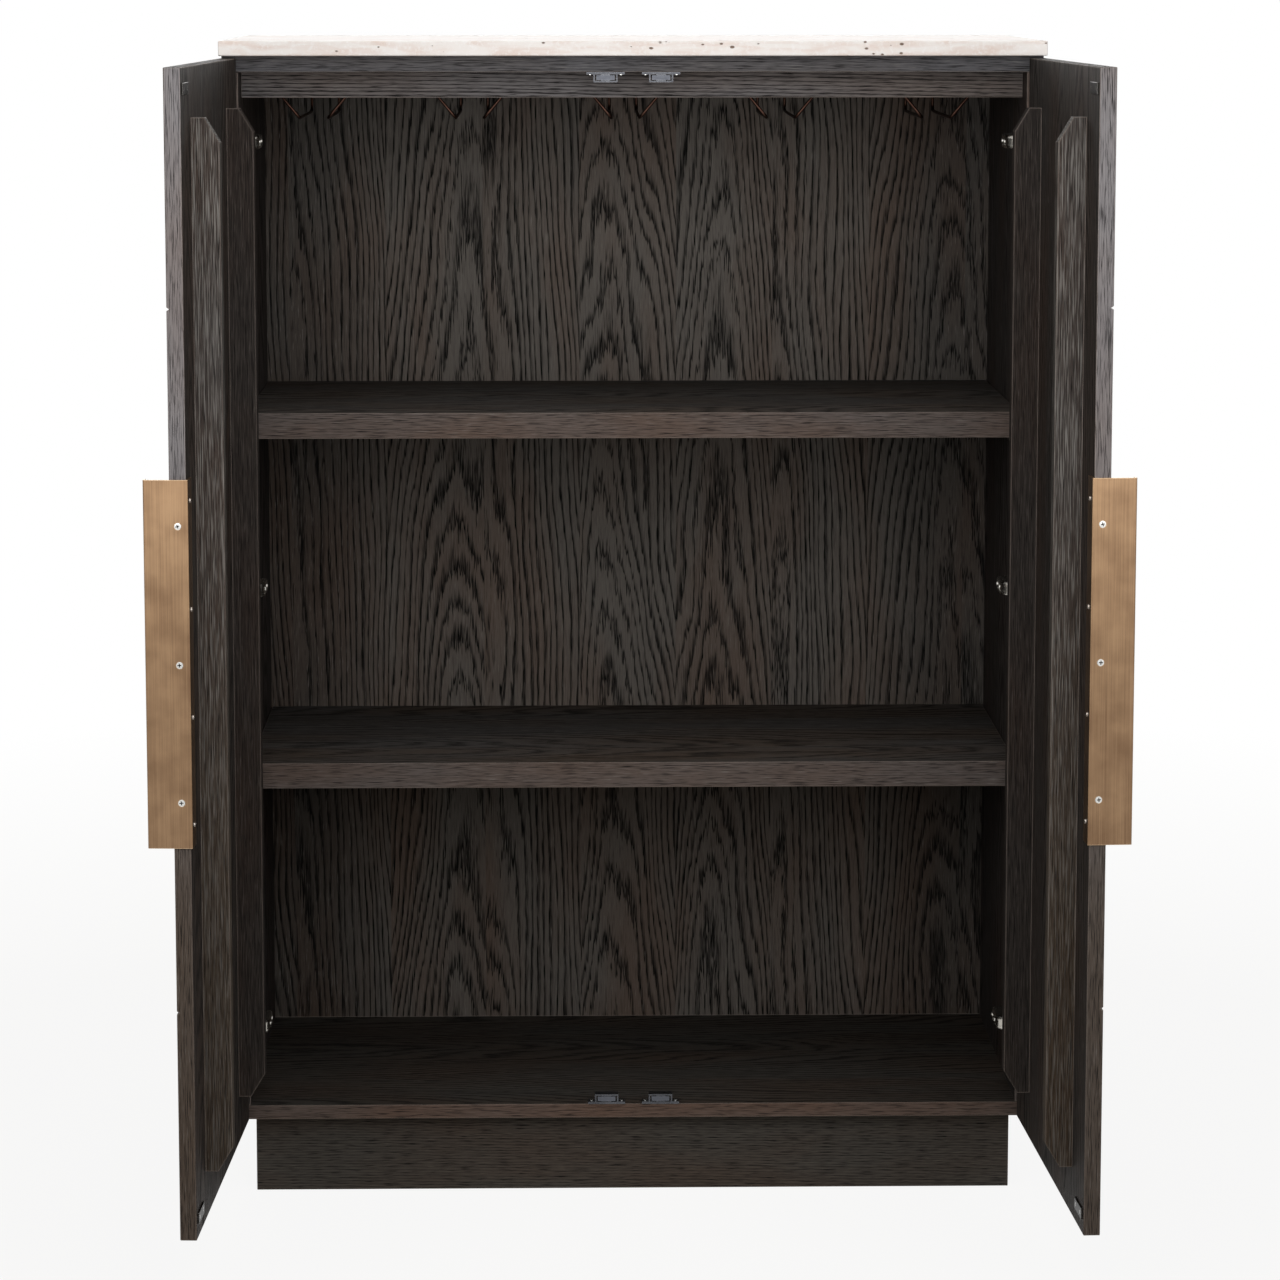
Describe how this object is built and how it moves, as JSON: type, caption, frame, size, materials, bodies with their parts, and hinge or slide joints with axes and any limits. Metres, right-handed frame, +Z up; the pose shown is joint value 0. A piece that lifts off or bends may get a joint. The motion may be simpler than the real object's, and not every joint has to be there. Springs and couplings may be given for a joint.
{
  "type": "storage cabinet",
  "caption": "Tall two-door storage cabinet of dark stained oak with a stone top, shelves, wire stemware racks, cup hinges, magnetic catches and folded metal pulls.",
  "frame": {"origin": "on the floor, in the middle of the carcass's width and depth", "axes": "+X to the right seen from the front, +Y to the back, +Z up"},
  "size_m": [1.0994, 0.9509, 1.44],
  "materials": {
    "stained_oak": "open-pore oak veneer, stained near black, matt lacquer",
    "base_wood": "sawn oak frame timber, stained dark",
    "travertine": "honed travertine with small open pits",
    "bronze_pull": "brushed plate, antique bronze plating",
    "copper_wire": "drawn wire, copper-bronze plating",
    "zinc_screw": "zinc-plated steel",
    "nickel_steel": "nickel-plated pressed steel",
    "catch_steel": "grey coated pressed steel",
    "magnet": "sintered ferrite with a grey face",
    "strike_steel": "black-coated steel plate"
  },
  "bodies": {
    "carcass": {"back_panel": "stained_oak", "back_panel_screws": "zinc_screw", "bottom_panel": "stained_oak", "catch_brackets": "catch_steel", "catch_magnets": "magnet", "catch_screws": "zinc_screw", "glass_rack_1": "copper_wire", "glass_rack_2": "copper_wire", "glass_rack_3": "copper_wire", "glass_rack_4": "copper_wire", "glass_rack_5": "copper_wire", "left_hinge_arm_screws": "zinc_screw", "left_hinge_arms": "nickel_steel", "left_hinge_plate_screws": "zinc_screw", "left_hinge_plates": "nickel_steel", "left_side_panel": "stained_oak", "lower_shelf": "stained_oak", "plinth_back": "base_wood", "plinth_bearer": "base_wood", "plinth_corner_blocks": "base_wood", "plinth_front": "stained_oak", "plinth_left": "stained_oak", "plinth_right": "stained_oak", "right_hinge_arm_screws": "zinc_screw", "right_hinge_arms": "nickel_steel", "right_hinge_plate_screws": "zinc_screw", "right_hinge_plates": "nickel_steel", "right_side_panel": "stained_oak", "shelf_pins": "nickel_steel", "stone_top": "travertine", "top_apron": "stained_oak", "top_panel": "stained_oak", "upper_shelf": "stained_oak"},
    "left_door": {"left_cup_screws": "zinc_screw", "left_door_panel": "stained_oak", "left_hinge_batten": "stained_oak", "left_hinge_cups": "nickel_steel", "left_hinge_pins": "nickel_steel", "left_pull": "bronze_pull", "left_pull_batten": "stained_oak", "left_pull_edge_screws": "zinc_screw", "left_pull_face_screws": "zinc_screw", "left_strike_plates": "strike_steel", "left_strike_screws": "zinc_screw"},
    "right_door": {"right_cup_screws": "zinc_screw", "right_door_panel": "stained_oak", "right_hinge_batten": "stained_oak", "right_hinge_cups": "nickel_steel", "right_hinge_pins": "nickel_steel", "right_pull": "bronze_pull", "right_pull_batten": "stained_oak", "right_pull_edge_screws": "zinc_screw", "right_pull_face_screws": "zinc_screw", "right_strike_plates": "strike_steel", "right_strike_screws": "zinc_screw"}
  },
  "joints": [
    {"name": "left_door_hinge", "type": "hinge", "parent": "carcass", "child": "left_door", "pos_m": [-0.4895, -0.238, 0.76], "axis": [0, 0, 1], "range_deg": [-2.5, 92.5]},
    {"name": "right_door_hinge", "type": "hinge", "parent": "carcass", "child": "right_door", "pos_m": [0.4895, -0.238, 0.76], "axis": [0, 0, -1], "range_deg": [-2.5, 92.5]}
  ]
}
